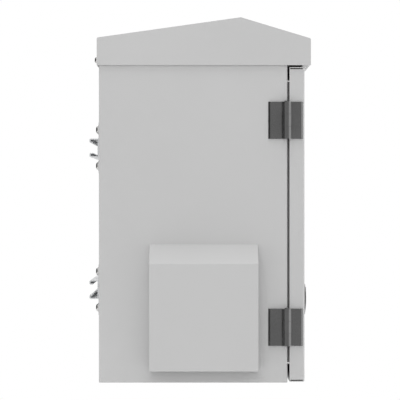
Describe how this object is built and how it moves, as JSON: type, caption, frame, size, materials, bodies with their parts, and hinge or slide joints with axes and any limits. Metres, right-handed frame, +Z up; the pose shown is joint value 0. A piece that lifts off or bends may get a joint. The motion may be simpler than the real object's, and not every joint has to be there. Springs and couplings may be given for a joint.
{
  "type": "wall-mount rack cabinet",
  "caption": "Light-grey outdoor wall cabinet for 19-inch equipment, with a pitched roof, side rain hoods, hinged door with a rod latch, and strut channels on its back.",
  "frame": {"origin": "centre of the four wall-fixing holes, on the back wall's outer face", "axes": "+Z up, +Y out of the back wall towards the wall or pole, door towards -Y, +X to the right seen from the front"},
  "size_m": [0.73, 0.4994, 0.7999],
  "materials": {
    "grey_paint": "satin powder coat",
    "hinge_black": "dark grey powder coat on cast zinc",
    "galvanised": "galvanised",
    "stainless": "polished stainless",
    "zinc_plate": "bright zinc plate",
    "black_foam": "foam",
    "black_rubber": "moulded rubber",
    "black_plastic": "moulded",
    "grey_plastic": "moulded",
    "filter_fleece": "fleece",
    "brass": "satin"
  },
  "bodies": {
    "cabinet": {"case_wrap": "grey_paint", "case_top": "grey_paint", "case_bottom": "grey_paint", "roof_cap": "grey_paint", "roof_stays": "galvanised", "roof_bolts": "stainless", "roof_washers": "stainless", "roof_nuts": "stainless", "strut_lower": "galvanised", "strut_upper": "galvanised", "strut_plates": "galvanised", "strut_bolts": "stainless", "strut_washers": "stainless", "strut_nuts": "stainless", "hood_left": "grey_paint", "hood_right": "grey_paint", "hood_screws": "stainless", "filter_grille": "grey_plastic", "filter_mat": "filter_fleece", "filter_screws": "stainless", "fan_frame": "black_plastic", "fan_guard": "zinc_plate", "fan_screws": "stainless", "rack_rail_left": "zinc_plate", "rack_rail_right": "zinc_plate", "rail_bracket_lower_left": "galvanised", "rail_bracket_lower_right": "galvanised", "rail_bracket_upper_left": "galvanised", "rail_bracket_upper_right": "galvanised", "rail_screws": "stainless", "bracket_rivets": "stainless", "cable_plate": "galvanised", "cable_grommets": "black_rubber", "cable_plate_screws": "stainless", "earth_stud": "brass", "earth_nut": "brass", "hinge_body_leaf_lower": "hinge_black", "hinge_body_leaf_upper": "hinge_black", "hinge_pin_lower": "stainless", "hinge_pin_upper": "stainless", "hinge_body_nuts": "stainless"},
    "door_leaf": {"hinge_door_leaf_lower": "hinge_black", "hinge_door_leaf_upper": "hinge_black", "hinge_door_nuts": "stainless", "door_panel": "grey_paint", "door_gasket": "black_foam", "lock_rose": "hinge_black", "lock_body": "black_plastic", "gear_bridge": "zinc_plate", "lock_screws": "stainless", "rod_guides": "black_plastic"},
    "latch_handle": {"handle": "hinge_black", "spindle": "zinc_plate", "pinion": "zinc_plate"},
    "key": {"key_plug": "stainless"},
    "upper_rod": {"rod_upper": "zinc_plate"},
    "lower_rod": {"rod_lower": "zinc_plate"},
    "fan_wheel": {"fan_rotor": "black_plastic"}
  },
  "joints": [
    {"name": "door_swing", "type": "hinge", "parent": "cabinet", "child": "door_leaf", "pos_m": [-0.3103, -0.4109, 0], "axis": [0, 0, -1], "range_deg": [0, 170]},
    {"name": "handle_turn", "type": "hinge", "parent": "door_leaf", "child": "latch_handle", "pos_m": [0.232, -0.4506, -0.1735], "axis": [0, 1, 0], "range_deg": [0, 90]},
    {"name": "key_turn", "type": "hinge", "parent": "latch_handle", "child": "key", "pos_m": [0.232, -0.4506, -0.1735], "axis": [0, 1, 0], "range_deg": [0, 90]},
    {"name": "upper_rod_slide", "type": "slide", "parent": "door_leaf", "child": "upper_rod", "axis": [0, 0, 1], "range_m": [0, 0.0213]},
    {"name": "lower_rod_slide", "type": "slide", "parent": "door_leaf", "child": "lower_rod", "axis": [0, 0, -1], "range_m": [0, 0.0213]},
    {"name": "fan_spin", "type": "hinge", "parent": "cabinet", "child": "fan_wheel", "pos_m": [0.27, -0.2296, -0.1815], "axis": [1, 0, 0], "continuous": true}
  ],
  "couplings": [
    {"joint": "upper_rod_slide", "follows": "handle_turn", "m_per_rad": 0.0135},
    {"joint": "lower_rod_slide", "follows": "handle_turn", "m_per_rad": 0.0135}
  ]
}
